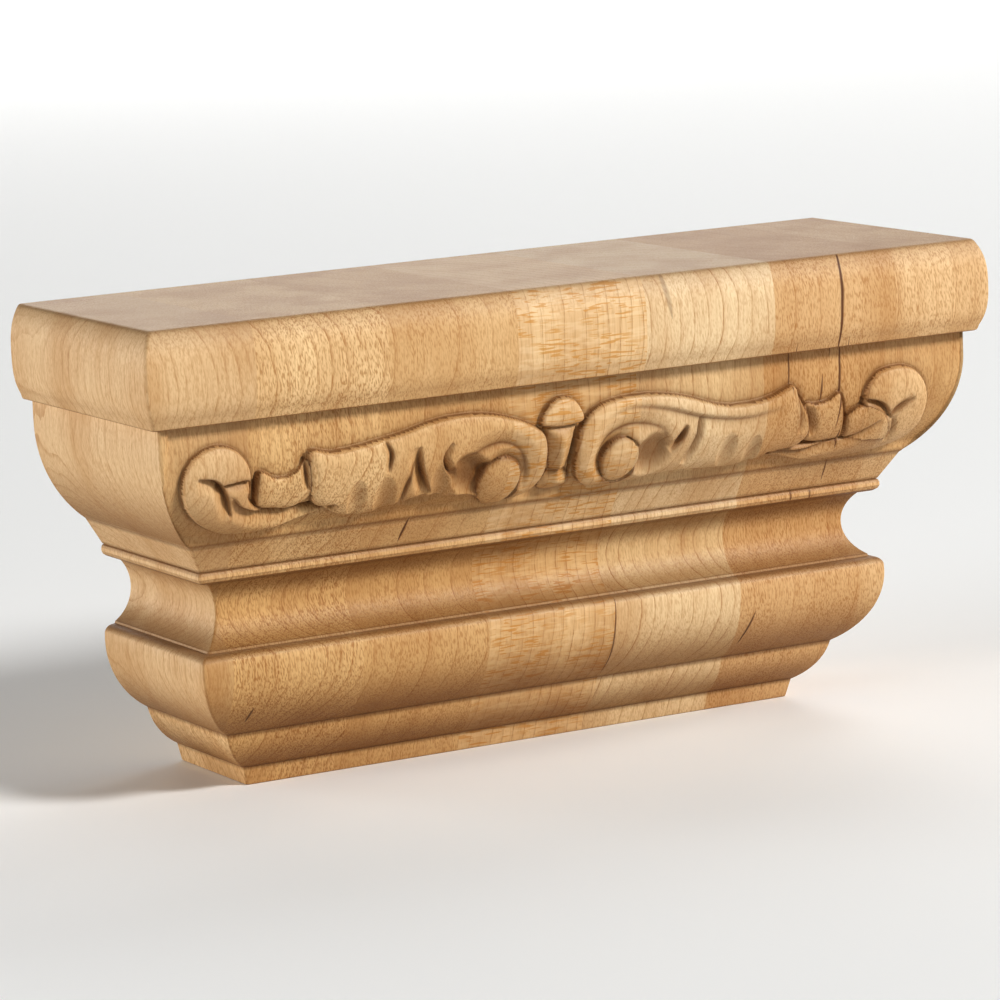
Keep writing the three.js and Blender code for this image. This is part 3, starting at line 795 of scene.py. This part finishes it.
# Partly end-grain colour, partly painted shade under the mouldings.
looks_down = span(facing.outputs[2], -0.15, -0.9)
colour = blend(maths("MULTIPLY", looks_down, end_grain_share), colour, END_GRAIN_AND_UNDERSIDE_SHADE, mode="MULTIPLY")
join(colour, shader.inputs["Base Color"])
shader.inputs["Specular IOR Level"].default_value = 0.38
join(span(fibres, 0.3, 0.7, 0.48, 0.60), shader.inputs["Roughness"])
bump = tree.nodes.new("ShaderNodeBump")
bump.inputs["Strength"].default_value = 0.25
bump.inputs["Distance"].default_value = 0.0002
grain_height = maths("SUBTRACT", maths("MULTIPLY", fibres, 0.5), maths("MULTIPLY", tick_mask, 0.3))
join(grain_height, bump.inputs["Height"])
join(bump.outputs["Normal"], shader.inputs["Normal"])
capital.data.materials.clear()
capital.data.materials.append(wood)

# The floor: a plain pale studio surface under the capital, made of matt paper.
# It is wide enough to fill the picture, and the capital stands on it loose.
bpy.ops.object.select_all(action="DESELECT")
bpy.ops.mesh.primitive_plane_add(size=14.0, location=(0, 0, 0))
floor = bpy.context.object
floor.name = "floor"
paper = bpy.data.materials.new("pale_paper")
paper.use_nodes = True
paper.node_tree.nodes["Principled BSDF"].inputs["Base Color"].default_value = (0.86, 0.86, 0.85, 1)
paper.node_tree.nodes["Principled BSDF"].inputs["Roughness"].default_value = 0.9
paper.node_tree.nodes["Principled BSDF"].inputs["Specular IOR Level"].default_value = 0.1
floor.data.materials.append(paper)

# Light: a large soft key from the front right, with softer boxes behind and to the left.
# The boxes behind give the top and the left end their pale sheen.
world = bpy.data.worlds.new("studio")
bpy.context.scene.world = world
world.use_nodes = True
world.node_tree.nodes["Background"].inputs["Color"].default_value = (1.0, 1.0, 1.0, 1)
world.node_tree.nodes["Background"].inputs["Strength"].default_value = 0.06


def soft_box(name, azimuth, elevation, size, power):
    """A round soft box 3 m away, aimed at the capital; azimuth 0 is straight in front, 90 is its right."""
    a = math.radians(azimuth)
    e = math.radians(elevation)
    place = Vector((math.sin(a) * math.cos(e), -math.cos(a) * math.cos(e), math.sin(e))) * 3.0
    bpy.ops.object.light_add(type="AREA", location=place)
    lamp = bpy.context.object
    lamp.name = name
    lamp.data.shape = "DISK"
    lamp.data.size = size
    lamp.data.energy = power
    lamp.visible_camera = False
    lamp.rotation_mode = "QUATERNION"
    lamp.rotation_quaternion = (Vector((0, 0, 0.05)) - place).to_track_quat("-Z", "Y")


soft_box("key", 36, 33, 0.75, 87.0)
soft_box("right", 92, 12, 1.0, 27.0)
soft_box("back_right", 132, 38, 1.4, 18.0)
soft_box("back", 159, 13, 1.8, 27.0)
soft_box("left_back", 222, 9, 1.2, 26.0)
soft_box("left", 278, 16, 1.3, 45.0)

# Camera: the photograph's viewpoint, from the front left and a little above, with its slight tilt.
# It was fitted to the corners of the mouldings; lengths are in metres and pixels are of the photograph.
FOCAL_PIXELS = 4829.0
PICTURE_PIXELS = 1000.0
AZIMUTH, ELEVATION, TILT = (math.radians(a) for a in (-29.30, 9.54, -2.49))
EYE = Vector((-0.49963, -0.88236, 0.22305))
camera = bpy.data.objects.new("camera", bpy.data.cameras.new("camera"))
bpy.context.scene.collection.objects.link(camera)
camera.data.sensor_width = 36.0
camera.data.lens = FOCAL_PIXELS / PICTURE_PIXELS * camera.data.sensor_width
ahead = Vector((
    -math.sin(AZIMUTH) * math.cos(ELEVATION), math.cos(AZIMUTH) * math.cos(ELEVATION), -math.sin(ELEVATION)
))
level = Vector((math.cos(AZIMUTH), math.sin(AZIMUTH), 0))
above = level.cross(ahead)
right = math.cos(TILT) * level + math.sin(TILT) * above
up = -math.sin(TILT) * level + math.cos(TILT) * above
turn = Matrix((right, up, -ahead)).transposed().to_4x4()
camera.matrix_world = Matrix.Translation(EYE) @ turn
camera.data.clip_start = 0.01
camera.data.clip_end = 50.0
bpy.context.scene.camera = camera
bpy.context.scene.view_settings.view_transform = "Standard"
bpy.context.scene.view_settings.gamma = 0.8
